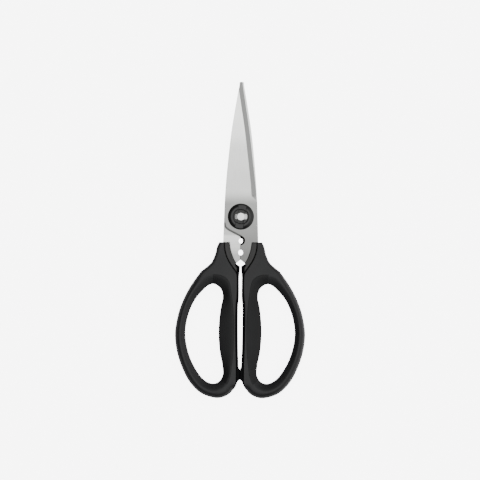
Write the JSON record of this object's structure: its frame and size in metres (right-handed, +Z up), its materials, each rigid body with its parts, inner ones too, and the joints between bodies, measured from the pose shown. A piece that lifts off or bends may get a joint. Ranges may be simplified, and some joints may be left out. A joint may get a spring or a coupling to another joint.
{
  "type": "poultry shears",
  "caption": "Take-apart kitchen and poultry shears: crossed steel blades on a keyhole pivot, herb-stripping notches, and black soft-grip handles with closed finger loops.",
  "frame": {"origin": "middle of the closed shears' outline, on the plane that their back lies on", "axes": "+Y along the blades towards the tips, +Z up through the pivot towards the front face, +X towards the right handle as seen from the front"},
  "size_m": [0.0912, 0.2214, 0.0118],
  "materials": {
    "blade_steel": "finely ground stainless steel, satin",
    "stud_steel": "turned stainless steel, bright",
    "black_plastic": "black moulded nylon, half gloss",
    "hard_plastic": "charcoal moulded plastic, fine matt texture",
    "soft_grip": "charcoal soft-touch elastomer",
    "soft_pad": "black soft elastomer, dull",
    "cushion": "black elastomer, dull"
  },
  "bodies": {
    "rear_half": {"rear_blade": "blade_steel", "left_handle_core": "hard_plastic", "left_grip": "soft_grip", "left_finger_pad": "soft_pad", "left_cushion_strip": "cushion", "pivot_stud": "stud_steel", "stud_washer": "stud_steel", "rear_pivot_cap": "black_plastic"},
    "front_half": {"front_blade": "blade_steel", "front_pivot_boss": "black_plastic", "right_handle_core": "hard_plastic", "right_grip": "soft_grip", "right_finger_pad": "soft_pad", "right_cushion_strip": "cushion"}
  },
  "joints": [
    {"name": "blade_pivot", "type": "hinge", "parent": "rear_half", "child": "front_half", "pos_m": [0, 0.01635, 0.0059], "axis": [0, 0, 1], "range_deg": [0, 99]}
  ]
}
